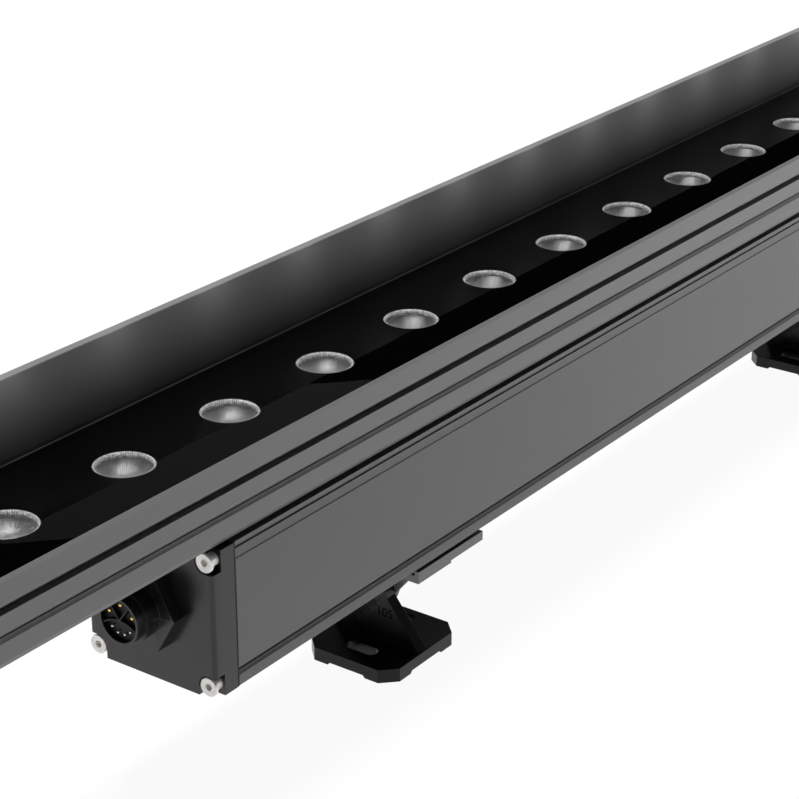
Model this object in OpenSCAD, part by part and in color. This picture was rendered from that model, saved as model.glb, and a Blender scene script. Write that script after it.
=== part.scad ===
// Linear wall washer for outdoors: a lens tray on top of a driver housing,
// an anti-glare visor at the back, and two tilting feet that slide along the housing.
// X runs along the lamp, Y points to the visor side, Z is up. The feet stand on z = 0,
// and the origin lies under the middle of the lamp.

/* [Row of lights] */
// Number of lenses along the lamp
lens_count = 18; // [12:6:24]
// Distance from one lens to the next
lens_pitch = 55; // [46:1:66]
// Diameter of the clear window over each lens
window_d = 22; // [18:0.5:26]

/* [Extrusions] */
// Width of the tray and of the housing under it
body_w = 58.6; // [54:0.2:72]
// Height of the lens tray
tray_h = 31.6; // [30:0.2:38]
// Height of the driver housing
housing_h = 56.5; // [54:0.5:68]
// Distance from the end of the tray to the outer face of the housing cap
cap_inset = 146.2; // [120:0.2:176]
// Thickness of the housing walls
housing_wall = 2.6; // [2.2:0.1:3.2]
// Height of the visor above the tray
visor_rise = 28.4; // [20:0.2:40]
// Thickness of the visor sheet
visor_t = 2.6; // [2:0.1:3.2]

/* [Glass and seals] */
// Thickness of the cover glass
glass_t = 4; // [3:0.5:5]
// Thickness of the black window plate under the glass
mask_t = 1; // [0.8:0.1:1.4]
// Thickness of the flat rubber seals
seal_t = 1; // [0.8:0.1:1.4]
// Thickness of the plates that close the tray
tray_end_t = 4; // [3:0.5:6]
// Thickness of the caps that close the housing
cap_t = 11.8; // [10:0.2:15]

/* [Connectors] */
// Outer diameter of the connector barrel
barrel_d = 17.9; // [17:0.1:20]
// Length of the barrel in front of its hexagon
barrel_reach = 10.4; // [9:0.1:14]
// Distance across the flats of the hexagon
hex_af = 28; // [26:0.5:30]
// Thickness of the hexagon
hex_t = 5.5; // [4:0.5:8]
// Diameter of a power contact
power_pin_d = 1.7; // [1.4:0.1:2]
// Diameter of a signal contact
signal_pin_d = 1.1; // [0.8:0.1:1.3]

/* [Brackets] */
// Place of the left foot along the lamp
left_foot_x = -212.5; // [-240:0.5:-150]
// Place of the right foot along the lamp
right_foot_x = 169.5; // [120:0.5:240]
// Height of the tilting axis above the ground
pivot_h = 25.9; // [24:0.1:34]
// Height of the top of the clamp plate above the tilting axis
clamp_rise = 23.9; // [22:0.1:32]
// Length of the foot plate along the lamp
foot_len = 48.5; // [46:0.5:60]
// Width of the foot plate across the lamp
foot_w = 44.2; // [42:0.2:54]
// Thickness of the foot plate
foot_t = 6; // [5:0.5:7]
// Thickness of the upright on the foot
upright_t = 5.5; // [4:0.5:7]
// Length of the clamp plate under the housing
clamp_len = 44.5; // [42:0.5:56]
// Thickness of the clamp plate
clamp_t = 4; // [3.5:0.5:5]
// Thickness of the clamp plate's ear
ear_t = 2.5; // [2:0.1:3]
// Width of the fixing slot and of the fixing hole in the foot
fix_d = 6; // [5:0.1:7]
// Length of the fixing slot from end to end
fix_slot_len = 15; // [12:0.5:18]
// Distance from the slot to the hole
fix_pitch = 31.2; // [30:0.2:36]

/* [Fasteners] */
// Shank diameter of the cap screws
cap_screw_d = 4; // [3:0.5:4.5]
// Head diameter of the cap screws
cap_head_d = 7.3; // [6:0.1:8]
// Shank diameter of the pivot bolts and clamp screws
bolt_d = 5; // [4:0.5:6]
// Head diameter of the pivot bolts and clamp screws
bolt_head_d = 8.5; // [7:0.5:10]
// Head height of the pivot bolts and clamp screws
bolt_head_h = 3; // [2.5:0.5:4]

/* [Hidden] */

$fn = 48;

// Clearances, and how far cutting shapes stick out
loose_gap = 0.3;
fit_gap = 0.1;
run_gap = 0.08;
cut = 1;

// Heights, from the ground up
clamp_top_z = pivot_h + clamp_rise;
clamp_low_z = clamp_top_z - clamp_t;
rail_h = 1.1;
rail_z = clamp_top_z + loose_gap;
housing_z = rail_z + rail_h;
tray_z = housing_z + housing_h;
tray_top_z = tray_z + tray_h;

// Lengths along the lamp
tray_len = lens_count * lens_pitch;
cap_seal_t = 0.8;
cap_face_x = tray_len / 2 - cap_inset;
housing_len = 2 * (cap_face_x - cap_t - cap_seal_t);

// The visor stands off the tray on one side only, so the lens line lies off the middle
half_w = body_w / 2;
visor_stand_off = 1.9;
bead_w = 3.6;
bead_h = 2.8;
lens_y = -(visor_stand_off + bead_w) / 2;

// The stepped line along the sides of both extrusions, from its upper to its lower edge
reveal_up = 1.9;
reveal_slope_up = 1.45;
reveal_step_up = 1.2;
reveal_slot_half = 0.45;
reveal_slope_low = 1.65;
reveal_low = 1.9;
reveal_slope_in = 0.4;
reveal_step_in = 0.8;
reveal_low_in = 0.25;
reveal_depth = 1.3;
tray_reveal_rise = 12.45;
housing_reveal_rise = 6.45;

// Tray section
tray_pad_h = 1.4;
tray_pad_inset = 5.3;
tray_strip_h = 2;
tray_strip_inset = 1.7;
tray_edge = 0.4;
channel_rise = 19.95;
channel_h = 2.85;
channel_depth = 3;
rim_chamfer = 1.1;
rim_w = 1.3;
glass_drop = 0.2;
glass_z = tray_top_z - glass_drop - glass_t;
mask_z = glass_z - mask_t;
ledge_z = mask_z - seal_t;
ledge_w = 4.5;
pocket_half = half_w - rim_w;
cavity_half = pocket_half - ledge_w;
floor_t = 9.8;
floor_z = tray_z + floor_t;
duct_rise = 2.4;
duct_h = 4.6;
duct_in = 7;
duct_w = 13.5;
port_d = 3.4;
tray_port_inset = 2.95;
tray_port_low_rise = 6.6;
tray_port_top_rise = 16.6;
tray_port_zs = [tray_z + tray_port_low_rise, tray_z + tray_port_top_rise];

// Housing section
panel_drop = 6.2;
panel_set_back = 0.35;
panel_chamfer = 0.4;
top_groove_drop = 1.6;
top_groove_h = 1.1;
top_groove_depth = 1;
flange_edge = 0.4;
rail_half = 20;
slot_half = 3.3;
slot_lip = 2.6;
slot_room_half = 7.2;
slot_room_h = 4.4;
slot_wall = 2.2;
corner_in = 7;
corner_h = 8.4;
port_side = 3.5;
port_top = 4;
port_low = 4.3;
shelf_rise = 17;
shelf_w = 1.6;
shelf_t = 1.6;
housing_top_z = housing_z + housing_h;
room_half = half_w - housing_wall;
corner_half = half_w - corner_in;
room_top_z = housing_top_z - housing_wall;
slot_top_z = rail_z + slot_lip + slot_room_h + slot_wall;

// Light sources and lenses
board_count = 3;
board_t = 1.6;
board_half = 21.5;
board_gap = 1;
led_w = 3.5;
led_base_h = 0.8;
led_dome_r = 1.3;
lens_z = floor_z + board_t + led_base_h + loose_gap;
lens_top_z = mask_z + mask_t - loose_gap;
lens_top_r = window_d / 2 - loose_gap;
lens_flange_t = 1;
lens_flange_w = 1.2;
lens_flange_r = lens_top_r + lens_flange_w;
lens_foot_r = 5;
lens_foot_hole_r = 2.7;
lens_foot_hole_h = 4.2;
lens_dish_r = 6.6;
lens_dish_depth = 3.6;
lens_curve_shares = [[1, 1], [0.87, 0.8], [0.67, 0.58], [0.44, 0.37], [0.18, 0.17], [0, 0]];
holder_wall = 1.2;

// Caps and their screws
cap_head_gap = 0.5;
cap_notch_r = cap_head_d / 2 + cap_head_gap;
cap_notch_depth = 4.9;
cap_edge_r = 1.6;
cap_wall = 4;
cap_pocket_inset = 9;
cap_head_t = 1.3;
cap_head_bevel = 0.35;
cap_neck_d = 5;
cap_key_depth = 2.2;
hex_key_d = 3;
small_key_d = 2;
hex_key_depth = 1.4;
thread_in = 9;

// Connectors
connector_rise = 29;
connector_z = housing_z + connector_rise;
barrel_wall = 0.95;
barrel_collar_w = 0.9;
barrel_collar_t = 6.2;
shell_bore_r = barrel_d / 2 - barrel_wall;
shell_floor_t = 2;
tail_d = 18;
tail_wall = 1.2;
tail_len = 12;
hex_r = hex_af / 2 / cos(30);
seal_ring_r = 12;
seal_ring_t = 0.8;
lock_nut_t = 3.4;
lock_nut_af = 24;
insert_recess = 2.2;
insert_tail = 1;
divider_t = 0.6;
divider_drop = 0.5;
divider_angle = 36;
divider_arc_r = 12;
power_pin_places = [[5.2, 2.2], [0, 5.8], [-5.2, 2.2]];
signal_pin_places = [[4.15, -3.5], [1.55, -5.2], [-1.55, -5.2], [-4.15, -3.5]];
pin_recess = 1;
pin_tail = 2;
socket_wall = 0.4;

// Driver inside the housing
driver_board_z = housing_z + shelf_rise;
driver_top_z = driver_board_z + board_t;
driver_half = room_half - loose_gap;
driver_end_gap = 120;
driver_len = housing_len - 2 * driver_end_gap;
terminal_len = 14;
terminal_half = 9;
terminal_h = 18.6;
terminal_slot_d = 3;
terminal_slot_depth = 1;
transformer_len = 46;
transformer_w = 36;
transformer_h = 26;
core_t = 9;
core_step = 3;
transformer_place_share = -0.24;
capacitor_d = 16;
capacitor_h = 24;
capacitor_groove = 0.8;
capacitor_y = 9.5;
capacitor_place_shares = [-0.08, 0.03, 0.31];
choke_r = 8;
choke_wire_d = 8;
choke_place_shares = [-0.38, 0.18, 0.39];
lead_d = 2.2;
signal_lead_d = 1.2;
led_lead_d = 1.8;
led_lead_y = 2.4;
led_lead_x = lens_pitch * 3 / 4;
output_block_half = 6;
output_block_h = 9;
grommet_d = 9.6;
grommet_lip = 1.7;
grommet_lip_t = 1.6;

// Joining screws between the tray and the housing
join_count = 6;
join_d = 4;
join_head_d = 8;
join_head_h = 2.2;
join_below = 4;

// Visor
visor_foot_h = 8.8;
visor_edge = 1;
bead_step = 0.5;
bead_edge = 0.25;
visor_hook_in = 2.6;
visor_screw_count = 7;
visor_screw_d = 3;
visor_screw_head_d = 5.8;
visor_screw_head_h = 1.5;
visor_screw_len = 9;
visor_in_y = half_w + visor_stand_off;
visor_out_y = visor_in_y + visor_t;
visor_foot_y = half_w + fit_gap;
visor_low_z = tray_z + channel_rise + channel_h / 2 - visor_foot_h;
visor_top_z = tray_top_z + visor_rise;
hook_z = tray_z + channel_rise + loose_gap;
hook_top_z = tray_z + channel_rise + channel_h - loose_gap;
hook_y = half_w - visor_hook_in;
visor_screw_z = tray_z + (channel_rise + tray_reveal_rise + reveal_up) / 2;

// Board screws and tray end screws
board_screw_d = 2.5;
board_screw_head_d = 4.6;
board_screw_head_h = 1.6;
board_screw_y = 15;
board_screw_in = 2;
end_screw_d = port_d - 2 * fit_gap;
end_screw_head_d = 5.2;
end_screw_head_h = 1.5;
end_screw_len = 10;

// Brackets, measured along the lamp from the middle of the foot
upright_x = -4;
ear_x = upright_x + upright_t + loose_gap;
washer_x = ear_x + ear_t;
washer_t = 1;
washer_d = 10;
head_x = washer_x + washer_t + loose_gap;
clamp_x = 6.6;
clamp_step_len = 22.3;
clamp_step_t = 1.1;
clamp_screw_xs = [-9.4, 21];
clamp_hole_d = 1.6;
clamp_hole_y = 26.6;
clamp_hole_drop = 1.3;
clamp_hole_depth = 6;
foot_chamfer = 6.2;
foot_recess_h = 1.1;
foot_recess_x = 9.5;
foot_recess_y = 8.2;
fix_slot_x = -13.6;
upright_half = 20.8;
pivot_eye_r = 5.5;
ear_half = 22;
slot_nut_len = 11;
slot_nut_h = 3.4;
slot_nut_half = slot_room_half - loose_gap;
slot_nut_z = rail_z + slot_lip + loose_gap;

// Lays a drawing in the lamp's cross-section and runs it along the lamp, its middle at x = 0
module run_x(length) {
    rotate([90, 0, 90]) linear_extrude(length, center = true) children();
}

// Brings the left-hand end as drawn, or its mirror image at the right-hand end
module at_end(side) {
    mirror([side > 0 ? 1 : 0, 0, 0]) children();
}

// Moves a shape from the lens line to its place in the lamp
module on_line() {
    translate([0, lens_y, 0]) children();
}

module on_foot(foot_x) {
    translate([foot_x, lens_y, 0]) children();
}

// Closes a right-hand outline with its mirror image
function both_sides(points) = concat(
    points,
    [for (i = [len(points) - 1 : -1 : 0]) [-points[i][0], points[i][1]]]
);

// The stepped line, from its top to its bottom, round height z
function reveal(z) = [
    [half_w, z + reveal_up],
    [half_w - reveal_slope_in, z + reveal_slope_up],
    [half_w - reveal_step_in, z + reveal_step_up],
    [half_w - reveal_step_in, z + reveal_slot_half],
    [half_w - reveal_depth, z + reveal_slot_half],
    [half_w - reveal_depth, z - reveal_slot_half],
    [half_w - reveal_step_in, z - reveal_slot_half],
    [half_w - reveal_low_in, z - reveal_slope_low],
    [half_w, z - reveal_low]
];

// Places along the lamp
board_step = tray_len / board_count;
board_lenses = lens_count / board_count;
function lens_xs() = [for (i = [0 : lens_count - 1]) (i - (lens_count - 1) / 2) * lens_pitch];
function join_xs() = [for (i = [0 : join_count - 1]) (2 * i - join_count + 1) * lens_pitch];
function board_x(b) = (b - (board_count - 1) / 2) * board_step;
function board_screw_xs(b) = [
    for (i = [1, board_lenses / 2, board_lenses - 1])
        board_x(b) + (i - board_lenses / 2) * lens_pitch
];
function visor_screw_xs() = [
    for (i = [0 : visor_screw_count - 1])
        (i - (visor_screw_count - 1) / 2) * tray_len / visor_screw_count
];

// Tray
function tray_side() = concat(
    [
        [half_w - rim_chamfer, tray_top_z],
        [half_w, tray_top_z - rim_chamfer],
        [half_w, tray_z + channel_rise + channel_h],
        [half_w - channel_depth, tray_z + channel_rise + channel_h],
        [half_w - channel_depth, tray_z + channel_rise],
        [half_w, tray_z + channel_rise]
    ],
    reveal(tray_z + tray_reveal_rise),
    [
        [half_w, tray_z + tray_pad_h + tray_strip_h + tray_edge],
        [half_w - tray_edge, tray_z + tray_pad_h + tray_strip_h],
        [half_w - tray_strip_inset, tray_z + tray_pad_h + tray_strip_h],
        [half_w - tray_strip_inset, tray_z + tray_pad_h],
        [half_w - tray_pad_inset, tray_z + tray_pad_h],
        [half_w - tray_pad_inset, tray_z]
    ]
);

module tray_ports() {
    for (side = [-1, 1], z = tray_port_zs)
        translate([side * (half_w - tray_port_inset), z]) circle(d = port_d);
}

module tray_section() {
    difference() {
        polygon(both_sides(tray_side()));
        translate([-pocket_half, ledge_z]) square([2 * pocket_half, tray_top_z - ledge_z + cut]);
        translate([-cavity_half, floor_z]) square([2 * cavity_half, ledge_z - floor_z + cut]);
        translate([duct_in, tray_z + duct_rise]) square([duct_w, duct_h]);
        translate([-duct_in - duct_w, tray_z + duct_rise]) square([duct_w, duct_h]);
        tray_ports();
    }
}

module tray() {
    color("#5f6062") on_line() difference() {
        run_x(tray_len) tray_section();
        for (x = join_xs()) translate([x, 0, floor_z]) mirror([0, 0, 1]) {
            translate([0, 0, -cut]) cylinder(d = join_d + 2 * fit_gap, h = floor_t + 2 * cut);
            cylinder(d1 = join_head_d + 2 * fit_gap, d2 = join_d, h = join_head_h);
        }
        translate([led_lead_x, 0, tray_z - cut])
            cylinder(d = grommet_d + 2 * fit_gap, h = floor_t + 2 * cut);
        for (x = visor_screw_xs())
            translate([x, visor_out_y, visor_screw_z]) rotate([90, 0, 0])
                cylinder(d = visor_screw_d + 2 * fit_gap, h = visor_screw_len + loose_gap);
        for (b = [0 : board_count - 1], x = board_screw_xs(b), side = [-1, 1])
            translate([x, side * board_screw_y, floor_z - board_screw_in - fit_gap])
                cylinder(d = board_screw_d + 2 * fit_gap, h = board_screw_in + fit_gap + cut);
    }
}

// Visor: a sheet with a thick top edge, on a foot that hooks into the tray's channel
module visor_section() {
    polygon([
        [visor_foot_y, visor_low_z],
        [visor_out_y - visor_edge, visor_low_z],
        [visor_out_y, visor_low_z + visor_edge],
        [visor_out_y, visor_top_z - bead_h],
        [visor_in_y + bead_w, visor_top_z - bead_h + bead_step],
        [visor_in_y + bead_w, visor_top_z - bead_edge],
        [visor_in_y + bead_w - bead_edge, visor_top_z],
        [visor_in_y + bead_edge, visor_top_z],
        [visor_in_y, visor_top_z - bead_edge],
        [visor_in_y, hook_top_z + visor_edge],
        [visor_foot_y, hook_top_z],
        [hook_y, hook_top_z],
        [hook_y, hook_z],
        [visor_foot_y, hook_z]
    ]);
}

module visor() {
    color("#5f6062") on_line() difference() {
        run_x(tray_len) visor_section();
        for (x = visor_screw_xs()) translate([x, visor_out_y, visor_screw_z]) rotate([90, 0, 0]) {
            cylinder(
                d1 = visor_screw_head_d + 2 * fit_gap,
                d2 = visor_screw_d,
                h = visor_screw_head_h
            );
            translate([0, 0, -cut])
                cylinder(d = visor_screw_d + 2 * fit_gap, h = visor_screw_len + cut);
        }
    }
}

// Countersunk screw along +Z: the flat head first, then the shank
module flat_screw(head_d, head_h, shank_d, total_len, key_d) {
    difference() {
        cylinder(d1 = head_d, d2 = shank_d, h = head_h);
        translate([0, 0, -cut]) cylinder(d = key_d, h = hex_key_depth + cut, $fn = 6);
    }
    translate([0, 0, head_h]) cylinder(d = shank_d, h = total_len - head_h);
}

// Screw with a domed head along +Z: the head first, then the shank
module domed_screw(head_d, head_t, edge_t, shank_d, shank_len) {
    dome_h = head_t - edge_t;
    dome_r = (pow(head_d / 2, 2) + pow(dome_h, 2)) / (2 * dome_h);
    difference() {
        intersection() {
            translate([0, 0, dome_r]) sphere(r = dome_r);
            cylinder(d = head_d, h = head_t);
        }
        translate([0, 0, -cut]) cylinder(d = hex_key_d, h = hex_key_depth + cut, $fn = 6);
    }
    translate([0, 0, head_t]) cylinder(d = shank_d, h = shank_len);
}

// Screw with a thin flat head on a neck along +Z: the head first
module flange_screw(head_d, head_t, bevel, neck_d, neck_len, key_depth) {
    difference() {
        union() {
            cylinder(d1 = head_d - 2 * bevel, d2 = head_d, h = bevel);
            translate([0, 0, bevel]) cylinder(d = head_d, h = head_t - bevel);
            translate([0, 0, head_t]) cylinder(d = neck_d, h = neck_len);
        }
        translate([0, 0, -cut]) cylinder(d = hex_key_d, h = key_depth + cut, $fn = 6);
    }
}

module visor_screws() {
    color("silver") on_line() for (x = visor_screw_xs())
        translate([x, visor_out_y, visor_screw_z]) rotate([90, 0, 0])
            flat_screw(
                visor_screw_head_d, visor_screw_head_h, visor_screw_d, visor_screw_len, small_key_d
            );
}

// Glass, window plate and gasket share one outline inside the tray
pane_len = tray_len - 2 * loose_gap;
pane_half = pocket_half - fit_gap;

module pane(z, t) {
    translate([-pane_len / 2, -pane_half, z]) cube([pane_len, 2 * pane_half, t]);
}

module cover_glass() {
    color([0.75, 0.8, 0.82, 0.4]) on_line() pane(glass_z, glass_t);
}

module window_plate() {
    color("#0a0a0b") on_line() difference() {
        pane(mask_z, mask_t);
        for (x = lens_xs()) translate([x, 0, mask_z - cut])
            cylinder(d = window_d, h = mask_t + 2 * cut);
    }
}

module glass_gasket() {
    open_len = pane_len - 2 * ledge_w;
    color("#151515") on_line() difference() {
        pane(ledge_z, seal_t);
        translate([-open_len / 2, -cavity_half, ledge_z - cut])
            cube([open_len, 2 * cavity_half, seal_t + 2 * cut]);
    }
}

// Lens: a bell with a flange, a dish on top and a hollow over the light source
lens_plug_z = mask_z - loose_gap;
lens_flange_z = lens_plug_z - lens_flange_t;
lens_bell_h = lens_flange_z - lens_z;

module lens_shape() {
    rotate_extrude() difference() {
        polygon(concat(
            [[0, lens_top_z]],
            [[lens_top_r, lens_top_z]],
            [[lens_top_r, lens_plug_z]],
            [[lens_flange_r, lens_plug_z]],
            [[lens_flange_r, lens_flange_z]],
            [for (s = lens_curve_shares)
                [lens_foot_r + (lens_top_r - lens_foot_r) * s[0], lens_z + lens_bell_h * s[1]]],
            [[0, lens_z]]
        ));
        translate([0, lens_z - cut]) square([lens_foot_hole_r, lens_foot_hole_h + cut]);
        polygon([
            [0, lens_top_z - lens_dish_depth],
            [lens_dish_r, lens_top_z],
            [lens_dish_r, lens_top_z + cut],
            [0, lens_top_z + cut]
        ]);
    }
}

module lenses() {
    color([0.9, 0.93, 0.95, 0.5]) on_line() for (x = lens_xs()) translate([x, 0, 0]) lens_shape();
}

module lens_holders() {
    low_z = floor_z + board_t;
    color("#e8e8e6") on_line() for (x = lens_xs()) translate([x, 0, 0]) difference() {
        translate([0, 0, low_z])
            cylinder(r = lens_flange_r + fit_gap + holder_wall, h = lens_plug_z - low_z);
        translate([0, 0, low_z - cut])
            cylinder(r = lens_top_r + loose_gap, h = lens_plug_z - low_z + 2 * cut);
        translate([0, 0, lens_flange_z])
            cylinder(r = lens_flange_r + fit_gap, h = lens_flange_t + cut);
    }
}

// Boards and light sources
module led_boards() {
    length = board_step - board_gap;
    color("#e4e4df") on_line() for (b = [0 : board_count - 1]) difference() {
        translate([board_x(b) - length / 2, -board_half, floor_z])
            cube([length, 2 * board_half, board_t]);
        for (x = board_screw_xs(b), side = [-1, 1])
            translate([x, side * board_screw_y, floor_z - cut])
                cylinder(d = board_screw_d + 2 * fit_gap, h = board_t + 2 * cut);
    }
}

module leds() {
    color("#d9c26a") on_line() for (x = lens_xs()) translate([x, 0, floor_z + board_t]) {
        translate([-led_w / 2, -led_w / 2, 0]) cube([led_w, led_w, led_base_h]);
        translate([0, 0, led_base_h]) difference() {
            sphere(r = led_dome_r);
            translate([-led_w / 2, -led_w / 2, -led_w]) cube(led_w);
        }
    }
}

module board_screws() {
    color("silver") on_line()
        for (b = [0 : board_count - 1], x = board_screw_xs(b), side = [-1, 1])
            translate([x, side * board_screw_y, floor_z - board_screw_in]) {
                cylinder(d = board_screw_d, h = board_screw_in + board_t);
                translate([0, 0, board_screw_in + board_t])
                    cylinder(d = board_screw_head_d, h = board_screw_head_h);
            }
}

// Tray ends, drawn at the left-hand end
module tray_end_outline() {
    difference() {
        polygon(both_sides([
            [half_w - rim_chamfer, tray_top_z],
            [half_w, tray_top_z - rim_chamfer],
            [half_w, tray_z + tray_pad_h + tray_strip_h],
            [half_w - tray_strip_inset, tray_z + tray_pad_h + tray_strip_h],
            [half_w - tray_strip_inset, tray_z + tray_pad_h],
            [half_w - tray_pad_inset, tray_z + tray_pad_h],
            [half_w - tray_pad_inset, tray_z]
        ]));
        tray_ports();
    }
}

module end_screw_places() {
    for (s = [-1, 1], z = tray_port_zs)
        translate([
            -tray_len / 2 - seal_t - tray_end_t,
            s * (half_w - tray_port_inset),
            z
        ])
            rotate([0, 90, 0]) children();
}

module tray_end(side) {
    at_end(side) difference() {
        translate([-tray_len / 2 - seal_t - tray_end_t / 2, 0, 0])
            run_x(tray_end_t) tray_end_outline();
        end_screw_places()
            cylinder(d1 = end_screw_head_d + 2 * fit_gap, d2 = end_screw_d, h = end_screw_head_h);
    }
}

module tray_seal(side) {
    at_end(side) translate([-tray_len / 2 - seal_t / 2, 0, 0]) run_x(seal_t) tray_end_outline();
}

module tray_end_left() {
    color("#333436") on_line() tray_end(-1);
}

module tray_end_right() {
    color("#333436") on_line() tray_end(1);
}

module tray_seal_left() {
    color("#151515") on_line() tray_seal(-1);
}

module tray_seal_right() {
    color("#151515") on_line() tray_seal(1);
}

module tray_end_screws() {
    color("silver") on_line() for (side = [-1, 1]) at_end(side) end_screw_places()
        flat_screw(
            end_screw_head_d, end_screw_head_h, end_screw_d,
            tray_end_t + seal_t + end_screw_len, small_key_d
        );
}

// Driver housing
housing_port_places = [
    [half_w - port_side, housing_z + port_low],
    [half_w - port_side, housing_top_z - port_top]
];

function housing_side() = concat(
    [
        [half_w - panel_set_back, housing_top_z],
        [half_w - panel_set_back, housing_top_z - top_groove_drop],
        [half_w - top_groove_depth, housing_top_z - top_groove_drop],
        [half_w - top_groove_depth, housing_top_z - top_groove_drop - top_groove_h],
        [half_w - panel_set_back, housing_top_z - top_groove_drop - top_groove_h],
        [half_w - panel_set_back, housing_top_z - panel_drop],
        [half_w, housing_top_z - panel_drop - panel_chamfer]
    ],
    reveal(housing_z + housing_reveal_rise),
    [
        [half_w, housing_z + flange_edge],
        [half_w - flange_edge, housing_z],
        [rail_half + rail_h, housing_z],
        [rail_half, rail_z],
        [slot_half, rail_z],
        [slot_half, rail_z + slot_lip],
        [slot_room_half, rail_z + slot_lip],
        [slot_room_half, rail_z + slot_lip + slot_room_h]
    ]
);

// Room inside the housing, from the top down: the thick corners take the cap screws, and
// the ribs hold the edges of the driver board
function room_side() = [
    [corner_half, room_top_z],
    [corner_half, housing_top_z - corner_h],
    [room_half, housing_top_z - corner_h - corner_in + housing_wall],
    [room_half, driver_top_z + fit_gap + shelf_t],
    [room_half - shelf_w, driver_top_z + fit_gap + shelf_t],
    [room_half - shelf_w, driver_top_z + fit_gap],
    [room_half, driver_top_z + fit_gap],
    [room_half, driver_board_z],
    [room_half - shelf_w, driver_board_z],
    [room_half - shelf_w, driver_board_z - shelf_t],
    [room_half, driver_board_z - shelf_t],
    [room_half, housing_z + corner_h + corner_in - housing_wall],
    [corner_half, housing_z + corner_h],
    [corner_half, housing_z + housing_wall],
    [slot_room_half + slot_wall, housing_z + housing_wall],
    [slot_room_half + slot_wall, slot_top_z]
];

module housing_section() {
    difference() {
        polygon(both_sides(housing_side()));
        polygon(both_sides(room_side()));
        for (side = [-1, 1], p = housing_port_places)
            translate([side * p[0], p[1]]) circle(d = cap_screw_d + 2 * fit_gap);
    }
}

module driver_housing() {
    color("#56575a") on_line() difference() {
        run_x(housing_len) housing_section();
        for (x = join_xs()) translate([x, 0, room_top_z - cut])
            cylinder(d = join_d + 2 * fit_gap, h = housing_wall + 2 * cut);
        translate([led_lead_x, 0, room_top_z - cut])
            cylinder(d = grommet_d + 2 * fit_gap, h = housing_wall + 2 * cut);
    }
}

module joining_screws() {
    color("silver") on_line() for (x = join_xs()) translate([x, 0, floor_z]) mirror([0, 0, 1])
        flat_screw(
            join_head_d, join_head_h, join_d, floor_t + housing_wall + join_below, hex_key_d
        );
}

// Housing caps, drawn at the left-hand end: a block with rounded front edges, open corner
// notches for the screw heads and a pocket behind
cap_back_x = cap_face_x - cap_t;

module cap_plan() {
    translate([-cap_face_x + cap_edge_r, -half_w]) square([cap_t - cap_edge_r, 2 * half_w]);
    translate([-cap_face_x, -half_w + cap_edge_r]) square([cap_t, 2 * (half_w - cap_edge_r)]);
    for (side = [-1, 1])
        translate([-cap_face_x + cap_edge_r, side * (half_w - cap_edge_r)]) circle(r = cap_edge_r);
}

module cap_screw_places() {
    for (side = [0, 1], up = [0, 1]) mirror([0, side, 0])
        translate([
            0,
            housing_port_places[up][0],
            housing_port_places[up][1]
        ])
            mirror([0, 0, 1 - up]) children();
}

module cap_notch() {
    reach = corner_in;
    rotate([90, 0, 90]) linear_extrude(cap_notch_depth + cut) {
        circle(r = cap_notch_r);
        translate([0, -cap_notch_r]) square([reach, cap_notch_r + reach]);
        translate([-cap_notch_r, 0]) square([cap_notch_r + reach, reach]);
    }
}

module housing_cap(side) {
    pocket_w = body_w - 2 * cap_pocket_inset;
    pocket_h = housing_h - 2 * cap_pocket_inset;
    at_end(side) difference() {
        translate([0, 0, housing_z]) linear_extrude(housing_h) cap_plan();
        translate([-cap_face_x - cut, 0, 0]) cap_screw_places() cap_notch();
        translate([-cap_face_x, 0, 0]) cap_screw_places() rotate([0, 90, 0])
            cylinder(d = cap_screw_d + 2 * fit_gap, h = cap_t + cut);
        translate([-cap_face_x + cap_wall, -pocket_w / 2, housing_z + cap_pocket_inset])
            cube([cap_t, pocket_w, pocket_h]);
        translate([-cap_face_x, 0, connector_z]) rotate([0, 90, 0]) {
            translate([0, 0, -cut]) cylinder(d = tail_d + 2 * fit_gap, h = cap_t);
            translate([0, 0, -cut]) cylinder(r = seal_ring_r + fit_gap, h = seal_ring_t + cut);
        }
    }
}

module cap_seal(side) {
    open_w = body_w - 2 * cap_pocket_inset;
    open_h = housing_h - 2 * cap_pocket_inset;
    at_end(side) difference() {
        translate([-cap_back_x, -half_w + fit_gap, housing_z + fit_gap])
            cube([cap_seal_t, body_w - 2 * fit_gap, housing_h - 2 * fit_gap]);
        translate([-cap_back_x - cut, -open_w / 2, housing_z + cap_pocket_inset])
            cube([cap_seal_t + 2 * cut, open_w, open_h]);
        translate([-cap_face_x, 0, 0]) cap_screw_places() rotate([0, 90, 0])
            cylinder(d = cap_screw_d + 2 * fit_gap, h = cap_t + cap_seal_t + cut);
    }
}

module housing_cap_left() {
    color("#1a1b1d") on_line() housing_cap(-1);
}

module housing_cap_right() {
    color("#1a1b1d") on_line() housing_cap(1);
}

module cap_seal_left() {
    color("#151515") on_line() cap_seal(-1);
}

module cap_seal_right() {
    color("#151515") on_line() cap_seal(1);
}

module cap_screws() {
    neck_len = cap_notch_depth - cap_head_t;
    color("silver") on_line() for (side = [-1, 1]) at_end(side)
        translate([-cap_face_x, 0, 0]) cap_screw_places() rotate([0, 90, 0]) {
            flange_screw(
                cap_head_d, cap_head_t, cap_head_bevel, cap_neck_d, neck_len, cap_key_depth
            );
            translate([0, 0, cap_notch_depth])
                cylinder(d = cap_screw_d, h = cap_t + cap_seal_t + thread_in - cap_notch_depth);
        }
}

// Connectors, drawn pointing along +Z with the cap face at z = 0 and "up" along +X
barrel_z = hex_t + barrel_reach;
insert_front_z = barrel_z - insert_recess;
insert_back_z = -tail_len - insert_tail;

module at_connector(side) {
    at_end(side) translate([-cap_face_x, 0, connector_z]) rotate([0, -90, 0]) children();
}

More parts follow.
